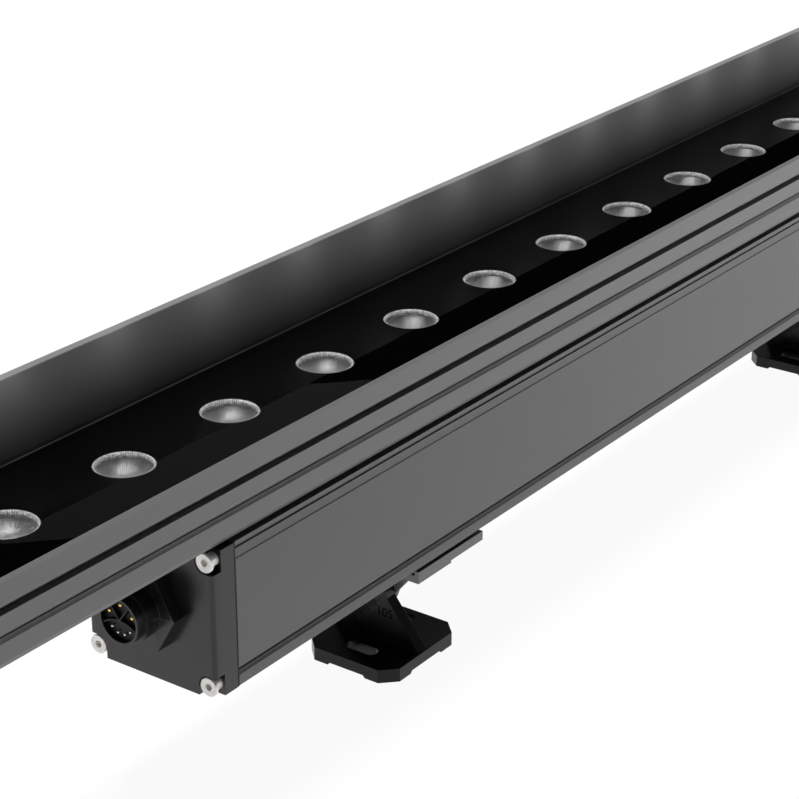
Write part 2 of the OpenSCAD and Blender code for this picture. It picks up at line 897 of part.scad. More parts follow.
module connector_shell() {
    difference() {
        union() {
            rotate([0, 0, 30]) cylinder(r = hex_r, h = hex_t, $fn = 6);
            cylinder(r = barrel_d / 2 + barrel_collar_w, h = hex_t + barrel_collar_t);
            cylinder(d = barrel_d, h = barrel_z);
            translate([0, 0, -tail_len]) cylinder(d = tail_d, h = tail_len + cut);
        }
        translate([0, 0, shell_floor_t]) cylinder(r = shell_bore_r, h = barrel_z + cut);
        translate([0, 0, -tail_len - cut])
            cylinder(r = tail_d / 2 - tail_wall, h = tail_len + shell_floor_t + 2 * cut);
    }
}

module connector_seal() {
    translate([0, 0, -seal_ring_t]) difference() {
        cylinder(r = seal_ring_r, h = seal_ring_t);
        translate([0, 0, -cut]) cylinder(d = tail_d + 2 * fit_gap, h = seal_ring_t + 2 * cut);
    }
}

module connector_lock_nut() {
    translate([0, 0, -cap_wall - lock_nut_t]) difference() {
        cylinder(r = lock_nut_af / 2 / cos(30), h = lock_nut_t, $fn = 6);
        translate([0, 0, -cut]) cylinder(d = tail_d + 2 * fit_gap, h = lock_nut_t + 2 * cut);
    }
}

// Copies a shape to each contact place, given as sideways and upward distances
module at_places(places) {
    for (p = places) translate([p[1], p[0], 0]) children();
}

module pin_holes() {
    length = insert_front_z - insert_back_z + 2 * cut;
    translate([0, 0, insert_back_z - cut]) {
        at_places(power_pin_places) cylinder(d = power_pin_d + 2 * run_gap, h = length);
        at_places(signal_pin_places) cylinder(d = signal_pin_d + 2 * run_gap, h = length);
    }
}

module socket_holes() {
    length = insert_front_z - insert_back_z + 2 * cut;
    wall = socket_wall + run_gap;
    translate([0, 0, insert_back_z - cut]) {
        at_places(power_pin_places) cylinder(d = power_pin_d + 2 * wall, h = length);
        at_places(signal_pin_places) cylinder(d = signal_pin_d + 2 * wall, h = length);
    }
}

module insert_core() {
    step_z = shell_floor_t + fit_gap;
    translate([0, 0, step_z]) cylinder(r = shell_bore_r - fit_gap, h = insert_front_z - step_z);
    translate([0, 0, insert_back_z])
        cylinder(r = tail_d / 2 - tail_wall - fit_gap, h = step_z - insert_back_z + cut);
}

module insert_dividers() {
    height = insert_recess - divider_drop;
    translate([0, 0, insert_front_z]) linear_extrude(height) intersection() {
        circle(r = shell_bore_r - fit_gap);
        union() {
            for (a = [-divider_angle, divider_angle])
                rotate(a) translate([0, -divider_t / 2]) square([shell_bore_r, divider_t]);
            translate([-divider_arc_r, 0]) difference() {
                circle(r = divider_arc_r + divider_t / 2);
                circle(r = divider_arc_r - divider_t / 2);
            }
        }
    }
}

// A round contact along the connector, from its tail behind the insert forward
module contact(d, front_z) {
    back_z = insert_back_z - pin_tail;
    translate([0, 0, back_z]) cylinder(d = d, h = front_z - back_z);
}

module socket_contact(d, front_z) {
    difference() {
        contact(d + 2 * socket_wall, front_z);
        cylinder(d = d, h = front_z + cut);
    }
}

module inlet_shell() {
    color("#1a1b1d") on_line() at_connector(-1) connector_shell();
}

module inlet_seal() {
    color("#151515") on_line() at_connector(-1) connector_seal();
}

module inlet_lock_nut() {
    color("silver") on_line() at_connector(-1) connector_lock_nut();
}

module inlet_insert() {
    color("#1c1c1d") on_line() at_connector(-1) difference() {
        union() {
            insert_core();
            insert_dividers();
        }
        pin_holes();
    }
}

module inlet_power_pins() {
    color("#d9b44a") on_line() at_connector(-1)
        at_places(power_pin_places) contact(power_pin_d, barrel_z - pin_recess);
}

module inlet_signal_pins() {
    color("#d8d8da") on_line() at_connector(-1)
        at_places(signal_pin_places) contact(signal_pin_d, barrel_z - pin_recess);
}

module outlet_shell() {
    color("#1a1b1d") on_line() at_connector(1) connector_shell();
}

module outlet_seal() {
    color("#151515") on_line() at_connector(1) connector_seal();
}

module outlet_lock_nut() {
    color("silver") on_line() at_connector(1) connector_lock_nut();
}

module outlet_insert() {
    color("#1c1c1d") on_line() at_connector(1) difference() {
        insert_core();
        socket_holes();
    }
}

module outlet_contacts() {
    color("#d9b44a") on_line() at_connector(1) {
        at_places(power_pin_places) socket_contact(power_pin_d, insert_front_z);
        at_places(signal_pin_places) socket_contact(signal_pin_d, insert_front_z);
    }
}

// Driver
module driver_board() {
    color("#2f5d3a") on_line() translate([-driver_len / 2, -driver_half, driver_board_z])
        cube([driver_len, 2 * driver_half, board_t]);
}

module driver_transformer() {
    coil_w = transformer_w - 2 * core_step;
    coil_h = transformer_h - 2 * core_step;
    coil_len = transformer_len - core_t;
    color("#3a3b3d") on_line()
        translate([transformer_place_share * driver_len, 0, driver_top_z]) {
            for (side = [-1, 1])
                translate([side * coil_len / 2, 0, transformer_h / 2])
                    cube([core_t, transformer_w, transformer_h], center = true);
            translate([0, 0, transformer_h / 2]) cube([coil_len, coil_w, coil_h], center = true);
        }
}

module capacitor() {
    r = capacitor_d / 2;
    rotate_extrude() polygon([
        [0, 0],
        [r, 0],
        [r, 2 * capacitor_groove],
        [r - capacitor_groove, 3 * capacitor_groove],
        [r, 4 * capacitor_groove],
        [r, capacitor_h - capacitor_groove],
        [r - capacitor_groove, capacitor_h],
        [0, capacitor_h]
    ]);
}

module driver_capacitors() {
    color("#26344f") on_line() for (s = capacitor_place_shares, side = [-1, 1])
        translate([s * driver_len, side * capacitor_y, driver_top_z]) capacitor();
}

module driver_chokes() {
    color("#a8642c") on_line() for (s = choke_place_shares)
        translate([s * driver_len, 0, driver_top_z + choke_wire_d / 2])
            rotate_extrude() translate([choke_r, 0]) circle(d = choke_wire_d);
}

module driver_terminals() {
    slot_z = driver_top_z + terminal_h - terminal_slot_depth;
    color("#dedfd8") on_line() {
        for (side = [-1, 1]) at_end(side) difference() {
            translate([-driver_len / 2, -terminal_half, driver_top_z])
                cube([terminal_len, 2 * terminal_half, terminal_h]);
            for (p = power_pin_places)
                translate([-driver_len / 2 + terminal_len / 2, p[0], slot_z])
                    cylinder(d = terminal_slot_d, h = terminal_slot_depth + cut);
        }
        translate([led_lead_x, 0, driver_top_z + output_block_h / 2])
            cube([output_block_half, 2 * output_block_half, output_block_h], center = true);
    }
}

// Leads from a connector to its terminal block, straight behind the contacts
module end_leads(side) {
    start = -insert_back_z + pin_tail;
    length = cap_face_x - start - driver_len / 2;
    at_connector(side) translate([0, 0, -start - length]) {
        at_places(power_pin_places) cylinder(d = lead_d, h = length);
        at_places(signal_pin_places) cylinder(d = signal_lead_d, h = length);
    }
}

module input_leads() {
    color("#7a2a22") on_line() end_leads(-1);
}

module output_leads() {
    color("#7a2a22") on_line() end_leads(1);
}

module led_leads() {
    low_z = driver_top_z + output_block_h;
    color("#7a2a22") on_line() for (side = [-1, 1])
        translate([led_lead_x, side * led_lead_y, low_z])
            cylinder(d = led_lead_d, h = floor_z - low_z);
}

module wire_grommet() {
    low_z = room_top_z - grommet_lip_t;
    top_z = floor_z - loose_gap;
    color("#151515") on_line() translate([led_lead_x, 0, low_z]) difference() {
        union() {
            cylinder(d = grommet_d + 2 * grommet_lip, h = grommet_lip_t);
            cylinder(d = grommet_d, h = top_z - low_z);
        }
        for (side = [-1, 1]) translate([0, side * led_lead_y, -cut])
            cylinder(d = led_lead_d + 2 * run_gap, h = top_z - low_z + 2 * cut);
    }
}

// Brackets, drawn with the middle of the foot at x = 0 and y = 0
clamp_start_x = clamp_x - clamp_len / 2;

module clamp_plate() {
    difference() {
        union() {
            translate([clamp_start_x, -half_w, clamp_low_z]) cube([clamp_len, body_w, clamp_t]);
            translate([clamp_start_x, -half_w, clamp_low_z - clamp_step_t])
                cube([clamp_step_len, body_w, clamp_step_t + cut]);
            translate([ear_x, 0, 0]) rotate([90, 0, 90]) linear_extrude(ear_t) {
                polygon([
                    [-ear_half, clamp_low_z + cut],
                    [-ear_half, clamp_low_z],
                    [-pivot_eye_r, pivot_h],
                    [pivot_eye_r, pivot_h],
                    [ear_half, clamp_low_z],
                    [ear_half, clamp_low_z + cut]
                ]);
                translate([0, pivot_h]) circle(r = pivot_eye_r);
            }
        }
        translate([ear_x - cut, 0, pivot_h]) rotate([0, 90, 0])
            cylinder(r = bolt_d / 2 + run_gap, h = ear_t + 2 * cut);
        for (x = clamp_screw_xs) translate([x, 0, clamp_low_z - clamp_step_t - cut])
            cylinder(d = bolt_d + 2 * fit_gap, h = clamp_t + clamp_step_t + 2 * cut);
        for (side = [-1, 1])
            translate([clamp_start_x - cut, side * clamp_hole_y, clamp_top_z - clamp_hole_drop])
                rotate([0, 90, 0]) cylinder(d = clamp_hole_d, h = clamp_hole_depth + cut);
    }
}

module slot_nuts() {
    for (x = clamp_screw_xs) difference() {
        translate([x - slot_nut_len / 2, -slot_nut_half, slot_nut_z])
            cube([slot_nut_len, 2 * slot_nut_half, slot_nut_h]);
        translate([x, 0, slot_nut_z - cut])
            cylinder(d = bolt_d + 2 * fit_gap, h = slot_nut_h + 2 * cut);
    }
}

// Height of the plate's underside at a place along it
function clamp_seat_z(x) =
    x < clamp_start_x + clamp_step_len ? clamp_low_z - clamp_step_t : clamp_low_z;

module clamp_screws() {
    for (x = clamp_screw_xs) translate([x, 0, clamp_seat_z(x)]) {
        difference() {
            translate([0, 0, -bolt_head_h]) cylinder(d = bolt_head_d, h = bolt_head_h);
            translate([0, 0, -bolt_head_h - cut])
                cylinder(d = hex_key_d, h = hex_key_depth + cut, $fn = 6);
        }
        cylinder(d = bolt_d, h = slot_nut_z + slot_nut_h - clamp_seat_z(x));
    }
}

module foot_outline() {
    x = foot_len / 2;
    y = foot_w / 2;
    polygon([
        [x, y - foot_chamfer],
        [x - foot_chamfer, y],
        [-x + foot_chamfer, y],
        [-x, y - foot_chamfer],
        [-x, -y + foot_chamfer],
        [-x + foot_chamfer, -y],
        [x - foot_chamfer, -y],
        [x, -y + foot_chamfer]
    ]);
}

// Shallow groove with sloping sides along Y, for the underside of the foot
module foot_groove(half, length) {
    rotate([90, 0, 0]) linear_extrude(length, center = true) polygon([
        [-half - foot_recess_h - cut, -cut],
        [half + foot_recess_h + cut, -cut],
        [half, foot_recess_h],
        [-half, foot_recess_h]
    ]);
}

module foot_shape() {
    slot_shift = (fix_slot_len - fix_d) / 2;
    difference() {
        union() {
            linear_extrude(foot_t) foot_outline();
            translate([upright_x, 0, 0]) rotate([90, 0, 90]) linear_extrude(upright_t) {
                polygon([
                    [-upright_half, foot_t - cut],
                    [-upright_half, foot_t],
                    [-pivot_eye_r, pivot_h],
                    [pivot_eye_r, pivot_h],
                    [upright_half, foot_t],
                    [upright_half, foot_t - cut]
                ]);
                translate([0, pivot_h]) circle(r = pivot_eye_r);
            }
        }
        foot_groove(foot_recess_x, foot_w + cut);
        rotate([0, 0, 90]) foot_groove(foot_recess_y, foot_len + cut);
        for (side = [-1, 1]) translate([fix_slot_x, side * slot_shift, -cut])
            cylinder(d = fix_d, h = foot_t + 2 * cut);
        translate([fix_slot_x - fix_d / 2, -slot_shift, -cut])
            cube([fix_d, 2 * slot_shift, foot_t + 2 * cut]);
        translate([fix_slot_x + fix_pitch, 0, -cut]) cylinder(d = fix_d, h = foot_t + 2 * cut);
        translate([upright_x - cut, 0, pivot_h]) rotate([0, 90, 0])
            cylinder(d = bolt_d + 2 * fit_gap, h = upright_t + 2 * cut);
    }
}

module pivot_bolt() {
    translate([head_x + bolt_head_h, 0, pivot_h]) rotate([0, -90, 0])
        domed_screw(
            bolt_head_d, bolt_head_h, bolt_head_h / 2, bolt_d, head_x - upright_x - fit_gap
        );
}

module pivot_washer() {
    translate([washer_x, 0, pivot_h]) rotate([0, 90, 0]) difference() {
        cylinder(d = washer_d, h = washer_t);
        translate([0, 0, -cut]) cylinder(r = bolt_d / 2 + run_gap, h = washer_t + 2 * cut);
    }
}

module clamp_plate_left() {
    color("#5f6062") on_foot(left_foot_x) clamp_plate();
}

module clamp_plate_right() {
    color("#5f6062") on_foot(right_foot_x) clamp_plate();
}

module slot_nuts_left() {
    color("silver") on_foot(left_foot_x) slot_nuts();
}

module slot_nuts_right() {
    color("silver") on_foot(right_foot_x) slot_nuts();
}

module clamp_screws_left() {
    color("silver") on_foot(left_foot_x) clamp_screws();
}

module clamp_screws_right() {
    color("silver") on_foot(right_foot_x) clamp_screws();
}

module foot_left() {
    color("#1a1b1d") on_foot(left_foot_x) foot_shape();
}

module foot_right() {
    color("#1a1b1d") on_foot(right_foot_x) foot_shape();
}

module pivot_bolt_left() {
    color("silver") on_foot(left_foot_x) pivot_bolt();
}

module pivot_bolt_right() {
    color("silver") on_foot(right_foot_x) pivot_bolt();
}

module pivot_washer_left() {
    color("silver") on_foot(left_foot_x) pivot_washer();
}

module pivot_washer_right() {
    color("silver") on_foot(right_foot_x) pivot_washer();
}

tray();
visor();
visor_screws();
cover_glass();
window_plate();
glass_gasket();
lenses();
lens_holders();
led_boards();
leds();
board_screws();
tray_end_left();
tray_end_right();
tray_seal_left();
tray_seal_right();
tray_end_screws();
driver_housing();
joining_screws();
housing_cap_left();
housing_cap_right();
cap_seal_left();
cap_seal_right();
cap_screws();
inlet_shell();
inlet_seal();
inlet_lock_nut();
inlet_insert();
inlet_power_pins();
inlet_signal_pins();
outlet_shell();
outlet_seal();
outlet_lock_nut();
outlet_insert();
outlet_contacts();
driver_board();
driver_transformer();
driver_capacitors();
driver_chokes();
driver_terminals();
input_leads();
output_leads();
led_leads();
wire_grommet();
clamp_plate_left();
clamp_plate_right();
slot_nuts_left();
slot_nuts_right();
clamp_screws_left();
clamp_screws_right();
foot_left();
foot_right();
pivot_bolt_left();
pivot_bolt_right();
pivot_washer_left();
pivot_washer_right();
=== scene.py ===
import math

import bmesh
import bpy
from mathutils import Matrix, Vector


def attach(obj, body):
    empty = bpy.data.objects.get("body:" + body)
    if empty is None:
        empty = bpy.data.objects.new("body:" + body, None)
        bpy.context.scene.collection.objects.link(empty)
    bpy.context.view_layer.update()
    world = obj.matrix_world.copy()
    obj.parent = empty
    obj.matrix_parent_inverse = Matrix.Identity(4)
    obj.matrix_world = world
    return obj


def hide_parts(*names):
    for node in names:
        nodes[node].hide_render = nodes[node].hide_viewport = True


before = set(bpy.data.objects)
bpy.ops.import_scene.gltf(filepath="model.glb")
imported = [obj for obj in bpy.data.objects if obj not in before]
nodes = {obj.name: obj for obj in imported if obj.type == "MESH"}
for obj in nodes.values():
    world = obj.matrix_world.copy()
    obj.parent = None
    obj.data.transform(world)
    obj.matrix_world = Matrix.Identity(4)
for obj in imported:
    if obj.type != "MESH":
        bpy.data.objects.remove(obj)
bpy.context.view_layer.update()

scene = bpy.context.scene
mm = 0.001


# Places and sizes in metres, the same as in the solids

lens_y = -2.75 * mm
lens_count = 18
lens_pitch = 55 * mm
lens_low_z = 120.2 * mm
body_half_width = 29.3 * mm
cap_face_x = 348.8 * mm
barrel_length = 15.9 * mm
connector_z = 80.2 * mm
housing_z = 51.2 * mm
housing_top_z = 107.7 * mm
foot_places = {"left": -212.5 * mm, "right": 169.5 * mm}
upright_face_x = -4 * mm


# Camera at the photograph's angle

camera_data = bpy.data.cameras.new("camera")
camera_data.sensor_width = 36
camera_data.lens = 100.27
camera_data.clip_start = 0.01
camera = bpy.data.objects.new("camera", camera_data)
camera.location = (-0.85078, -0.47247, 0.45146)
camera.rotation_euler = (math.radians(66.6771), 0, math.radians(-54.1706))
scene.collection.objects.link(camera)
scene.camera = camera


# Small steps that the finishes share

def feed(tree, value, socket):
    """A number is set on the socket, and another node's output is linked to it."""
    if isinstance(value, (int, float)):
        socket.default_value = value
    else:
        tree.links.new(value, socket)


def maths(tree, kind, *values):
    node = tree.nodes.new("ShaderNodeMath")
    node.operation = kind
    for value, socket in zip(values, node.inputs):
        feed(tree, value, socket)
    return node.outputs[0]


def noise(tree, where, scale, detail, roughness):
    node = tree.nodes.new("ShaderNodeTexNoise")
    for label, value in (
        ("Vector", where), ("Scale", scale), ("Detail", detail), ("Roughness", roughness),
    ):
        feed(tree, value, node.inputs[label])
    return node.outputs["Fac"]


def on_object(tree):
    """The place on the object, in its own coordinates."""
    return tree.nodes.new("ShaderNodeTexCoord").outputs["Object"]


def parts_of(tree, vector):
    """A vector's X, Y and Z."""
    split = tree.nodes.new("ShaderNodeSeparateXYZ")
    tree.links.new(vector, split.inputs[0])
    return split.outputs


def faded(tree, value, low, high, at_low, at_high):
    """Runs from one shade to another while the value rises from low to high."""
    node = tree.nodes.new("ShaderNodeMapRange")
    for label, number in (
        ("From Min", low), ("From Max", high), ("To Min", at_low), ("To Max", at_high),
    ):
        node.inputs[label].default_value = number
    tree.links.new(value, node.inputs["Value"])
    return node.outputs[0]


def shaded(tree, colour, shade):
    """The colour, made lighter and darker by the shade value."""
    mix = tree.nodes.new("ShaderNodeMix")
    mix.data_type = "RGBA"
    mix.blend_type = "MULTIPLY"
    mix.inputs["Factor"].default_value = 1.0
    mix.inputs["A"].default_value = (*colour, 1.0)
    grey = tree.nodes.new("ShaderNodeCombineColor")
    for socket in grey.inputs[:3]:
        tree.links.new(shade, socket)
    tree.links.new(grey.outputs[0], mix.inputs["B"])
    return mix.outputs["Result"]


def bump(tree, shader, height, strength, distance):
    node = tree.nodes.new("ShaderNodeBump")
    node.inputs["Strength"].default_value = strength
    node.inputs["Distance"].default_value = distance
    tree.links.new(height, node.inputs["Height"])
    tree.links.new(node.outputs["Normal"], shader.inputs["Normal"])


def ribs_round(tree, count):
    """A wave with so many crests round a turned piece, from its own UV map."""
    turn = tree.nodes.new("ShaderNodeUVMap")
    turn.uv_map = "turn"
    share = parts_of(tree, turn.outputs[0])["X"]
    return maths(tree, "SINE", maths(tree, "MULTIPLY", share, math.tau * count))


# Shader groups shared by several finishes

def shader_group(name, inputs, outputs):
    """An empty group: its inputs with their usual values, and its outputs."""
    group = bpy.data.node_groups.new(name, "ShaderNodeTree")
    for label, value in inputs.items():
        socket = group.interface.new_socket(
            label, in_out="INPUT", socket_type="NodeSocketFloat"
        )
        socket.default_value = value
    for label in outputs:
        group.interface.new_socket(label, in_out="OUTPUT", socket_type="NodeSocketFloat")
    return group, group.nodes.new("NodeGroupInput"), group.nodes.new("NodeGroupOutput")


def build_coat_grain():
    """Orange peel of a powder coat, with faint cloudy shade and gloss."""
    group, inp, out = shader_group(
        "coat_grain",
        {
            "Grain per metre": 1400.0, "Cloud per metre": 14.0, "Shade spread": 0.06,
            "Rough base": 0.45, "Rough spread": 0.08,
        },
        ["Height", "Shade", "Rough"],
    )
    where = on_object(group)
    fine = noise(group, where, inp.outputs["Grain per metre"], detail=3.0, roughness=0.6)
    cloud = noise(group, where, inp.outputs["Cloud per metre"], detail=4.0, roughness=0.55)
    group.links.new(fine, out.inputs["Height"])
    swing = maths(group, "SUBTRACT", maths(group, "ADD", fine, cloud), 1.0)
    shade = maths(group, "MULTIPLY", swing, inp.outputs["Shade spread"])
    group.links.new(maths(group, "ADD", shade, 1.0), out.inputs["Shade"])
    swing = maths(group, "SUBTRACT", cloud, 0.5)
    rough = maths(group, "MULTIPLY", swing, inp.outputs["Rough spread"])
    group.links.new(maths(group, "ADD", rough, inp.outputs["Rough base"]), out.inputs["Rough"])
    return group


def build_turned_marks():
    """Fine lines left on turned and brushed metal, drawn out along Y."""
    group, inp, out = shader_group(
        "turned_marks",
        {"Lines per metre": 9000.0, "Rough base": 0.25, "Rough spread": 0.12},
        ["Height", "Rough"],
    )
    stretch = group.nodes.new("ShaderNodeMapping")
    stretch.inputs["Scale"].default_value = (1.0, 0.12, 1.0)
    group.links.new(on_object(group), stretch.inputs["Vector"])
    lines = noise(
        group, stretch.outputs["Vector"], inp.outputs["Lines per metre"], detail=2.0,
        roughness=0.6,
    )
    group.links.new(lines, out.inputs["Height"])
    rough = maths(group, "MULTIPLY", lines, inp.outputs["Rough spread"])
    group.links.new(maths(group, "ADD", rough, inp.outputs["Rough base"]), out.inputs["Rough"])
    return group


coat_grain = build_coat_grain()
turned_marks = build_turned_marks()


# Kinds of finish

def new_finish(name, **constants):
    """A material with values that are the same all over it, set on the shader itself."""
    material = bpy.data.materials.new(name)
    material.use_nodes = True
    shader = material.node_tree.nodes["Principled BSDF"]
    for label, value in constants.items():
        socket = shader.inputs[label.replace("_", " ")]
        socket.default_value = (*value, 1.0) if socket.type == "RGBA" else value
    return material, material.node_tree, shader


def placed_group(tree, group, **values):
    """A shared group in a finish, with the finish's own values."""
    node = tree.nodes.new("ShaderNodeGroup")
    node.node_tree = group
    for label, value in values.items():
        node.inputs[label.replace("_", " ")].default_value = value
    return node.outputs


def coated(name, colour, rough, grain, depth_mm, strength, spread, **constants):
    """A coat, plastic or rubber with a fine grain and a slightly cloudy shade."""
    material, tree, shader = new_finish(name, **constants)
    coat = placed_group(
        tree, coat_grain, Grain_per_metre=grain, Shade_spread=spread, Rough_base=rough
    )
    tree.links.new(shaded(tree, colour, coat["Shade"]), shader.inputs["Base Color"])
    tree.links.new(coat["Rough"], shader.inputs["Roughness"])
    bump(tree, shader, coat["Height"], strength, depth_mm * mm)
    return material


def metal(name, colour, rough):
    """Bare metal with fine lines."""
    material, tree, shader = new_finish(name, Base_Color=colour, Metallic=1.0)
    marks = placed_group(tree, turned_marks, Rough_base=rough)
    tree.links.new(marks["Rough"], shader.inputs["Roughness"])
    bump(tree, shader, marks["Height"], strength=0.15, distance=0.01 * mm)
    return material


def clear(name, colour, rough, ior):
    """A clear solid that lets light through to what lies under it."""
    material, tree, shader = new_finish(
        name, Base_Color=colour, Roughness=rough, IOR=ior, Transmission_Weight=1.0
    )
    ray = tree.nodes.new("ShaderNodeLightPath")
    through = tree.nodes.new("ShaderNodeBsdfTransparent")
    mix = tree.nodes.new("ShaderNodeMixShader")
    tree.links.new(ray.outputs["Is Shadow Ray"], mix.inputs[0])
    tree.links.new(shader.outputs[0], mix.inputs[1])
    tree.links.new(through.outputs[0], mix.inputs[2])
    tree.links.new(mix.outputs[0], tree.nodes["Material Output"].inputs["Surface"])
    return material, tree, shader


def lens_finish():
    """Clear moulded plastic, a little frosted, with faint flutes."""
    material, tree, shader = clear("clear_lens", (0.97, 0.98, 0.98), rough=0.3, ior=1.58)
    bump(tree, shader, ribs_round(tree, count=54), strength=0.4, distance=0.04 * mm)
    return material


def collar_finish():
    """A pale collar in each lens rim, painted light for the lens's bright ridged wall, with fine
    upright ribs and a coarse grain.
    """
    colour = (0.66, 0.66, 0.66)
    material, tree, shader = new_finish(
        "collar_painted_light", Base_Color=colour, Roughness=0.35, Metallic=0.3
    )
    rib_height, grain_height, sunk = 0.5, 5.0, 2.7
    ribs = maths(tree, "MULTIPLY", ribs_round(tree, count=80), rib_height)
    grain = noise(tree, on_object(tree), scale=1000.0, detail=2.0, roughness=0.7)
    grain = maths(tree, "MULTIPLY", grain, grain_height)
    height = maths(tree, "SUBTRACT", maths(tree, "ADD", ribs, grain), sunk)
    bump(tree, shader, height, strength=0.8, distance=0.1 * mm)
    # Painted shade: the colour darkens in the ribs' grooves and lightens on their crests, and the
    # grain adds a random tone
    usual_shade, painted_rib_shade_and_grain_spread = 0.75, 0.4
    shade = maths(tree, "ADD", maths(tree, "MULTIPLY", height, painted_rib_shade_and_grain_spread), usual_shade)
    tree.links.new(shaded(tree, colour, shade), shader.inputs["Base Color"])
    return material


def cup_painted_light_and_shade():
    """The cup round a lens: painted light low down, painted shade towards the top, and a blotchy
    edge between.
    """
    colour = (0.42, 0.42, 0.42)
    # Painted light below the first height and painted shade above the second, with blotches moving
    # the edge
    painted_light_to, dark_from, painted_edge_blotch_height = 126 * mm, 128 * mm, 30 * mm
    material, tree, shader = new_finish("holder_painted_light_and_shade", Base_Color=colour, Roughness=0.35)
    where = on_object(tree)
    painted_edge_blotch = noise(tree, where, scale=620.0, detail=2.0, roughness=0.7)
    painted_edge_blotch = maths(tree, "MULTIPLY", maths(tree, "SUBTRACT", painted_edge_blotch, 0.5), painted_edge_blotch_height)
    height = maths(tree, "ADD", parts_of(tree, where)["Z"], painted_edge_blotch)
    shade = faded(tree, height, painted_light_to, dark_from, at_low=1.0, at_high=0.06)
    tree.links.new(shaded(tree, colour, shade), shader.inputs["Base Color"])
    return material


# Finishes. A coat's row: colour, roughness, grain per metre, depth of the grain in mm, strength
# of the bump, spread of the shade, and what is set on the shader itself.

coats = {
    "grey_coat": ((0.14, 0.14, 0.142), 0.36, 1100, 0.008, 0.25, 0.05, {}),
    # The tray's grey coat made lighter for the visor, painted light, with less sheen
    "visor_coat_painted_light": (
        (0.17, 0.17, 0.172), 0.42, 1100, 0.008, 0.25, 0.05, {"Specular_IOR_Level": 0.25},
    ),
    # The tray's grey coat made darker for the housing: painted shade
    "housing_coat_painted_shade": ((0.1, 0.1, 0.102), 0.36, 1100, 0.008, 0.25, 0.05, {}),
    "black_coat": ((0.006, 0.006, 0.0062), 0.24, 1300, 0.006, 0.2, 0.12, {}),
    # The black coat made darker for the feet, painted shade, with less sheen
    "foot_coat_painted_shade": (
        (0.004, 0.004, 0.0042), 0.28, 1300, 0.006, 0.2, 0.12, {"Specular_IOR_Level": 0.25},
    ),
    "black_plate": (
        (0.0008, 0.0008, 0.0009), 0.8, 2500, 0.01, 0.1, 0.1, {"Specular_IOR_Level": 0.0},
    ),
    "black_plastic": (
        (0.006, 0.006, 0.0065), 0.5, 2600, 0.01, 0.2, 0.2, {"Specular_IOR_Level": 0.3},
    ),
    "seal_rubber": ((0.012, 0.012, 0.012), 0.75, 2200, 0.02, 0.4, 0.2, {}),
    "white_plastic": ((0.7, 0.7, 0.68), 0.4, 2400, 0.01, 0.15, 0.03, {}),
    "board_finish": ((0.22, 0.22, 0.21), 0.45, 1800, 0.01, 0.1, 0.04, {}),
    "green_board": ((0.03, 0.13, 0.05), 0.4, 1200, 0.01, 0.2, 0.15, {}),
    "dark_core": ((0.04, 0.04, 0.045), 0.5, 900, 0.03, 0.4, 0.15, {}),
    "blue_sleeve": ((0.02, 0.04, 0.12), 0.3, 900, 0.01, 0.1, 0.05, {}),
    "red_sleeve": ((0.25, 0.02, 0.015), 0.4, 1800, 0.01, 0.2, 0.06, {}),
    "phosphor": ((0.42, 0.34, 0.12), 0.35, 3000, 0.01, 0.1, 0.05, {}),
    "mark_paint": (
        (0.0008, 0.0008, 0.0008), 0.7, 2600, 0.01, 0.1, 0.1, {"Specular_IOR_Level": 0.0},
    ),
    "bright_steel": ((0.84, 0.82, 0.79), 0.42, 3000, 0.006, 0.15, 0.04, {"Metallic": 0.45}),
}
metals = {
    "copper_wire": ((0.6, 0.25, 0.08), 0.3),
    "steel": ((0.78, 0.77, 0.75), 0.24),
    "gold_contact": ((0.85, 0.6, 0.18), 0.22),
    "silver_contact": ((0.85, 0.85, 0.84), 0.22),
    "black_steel": ((0.03, 0.03, 0.032), 0.35),
}
finishes = {name: coated(name, *row, **fixed) for name, (*row, fixed) in coats.items()}
finishes.update((name, metal(name, *row)) for name, row in metals.items())

# The low IOR stands for the glass's anti-reflection coat
finishes["clear_glass"] = clear("clear_glass", (1.0, 1.0, 1.0), rough=0.0, ior=1.22)[0]
finishes["clear_lens"] = lens_finish()
finishes["collar_painted_light"] = collar_finish()
finishes["holder_painted_light_and_shade"] = cup_painted_light_and_shade()


# Helpers for pieces

def mesh_piece(name, bm, finish, smooth):
    mesh = bpy.data.meshes.new(name)
    bm.to_mesh(mesh)
    bm.free()
    for face in mesh.polygons:
        face.use_smooth = smooth
    mesh.materials.append(finishes[finish])
    piece = bpy.data.objects.new(name, mesh)
    scene.collection.objects.link(piece)
    return piece


def settle(piece, body, slot, *replaced):
    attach(piece, body)
    if replaced:
        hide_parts(*replaced)


def dress(name, finish):
    """A finish for a solid that stays as it is."""
    node = nodes[name]
    node.data.materials.clear()
    node.data.materials.append(finishes[finish])


def soften(node_name, finish, slot, body, width):
    """Replaces a solid by a copy with its small triangles joined and its sharp edges taken off."""
    sharp = math.radians(30)
    same_place, flat = 0.004 * mm, math.radians(0.5)
    bm = bmesh.new()
    bm.from_mesh(nodes[node_name].data)
    bmesh.ops.remove_doubles(bm, verts=bm.verts, dist=same_place)
    bmesh.ops.dissolve_limit(
        bm, angle_limit=flat, verts=bm.verts, edges=bm.edges, use_dissolve_boundaries=False
    )
    piece = mesh_piece(node_name + "_piece", bm, finish, smooth=True)
    edge = piece.modifiers.new("edge", "BEVEL")
    edge.width = width
    edge.segments = 2
    edge.limit_method = "ANGLE"
    edge.angle_limit = sharp
    edge.use_clamp_overlap = True
    edge.harden_normals = True
    piece.data.set_sharp_from_angle(angle=sharp)
    settle(piece, body, slot, node_name)


def ring(bm, radius, height, steps):
    """Corners round Z, or one corner on the axis."""
    if radius < 1e-7:
        return [bm.verts.new((0, 0, height))]
    turns = [math.tau * i / steps for i in range(steps)]
    return [bm.verts.new((radius * math.cos(a), radius * math.sin(a), height)) for a in turns]


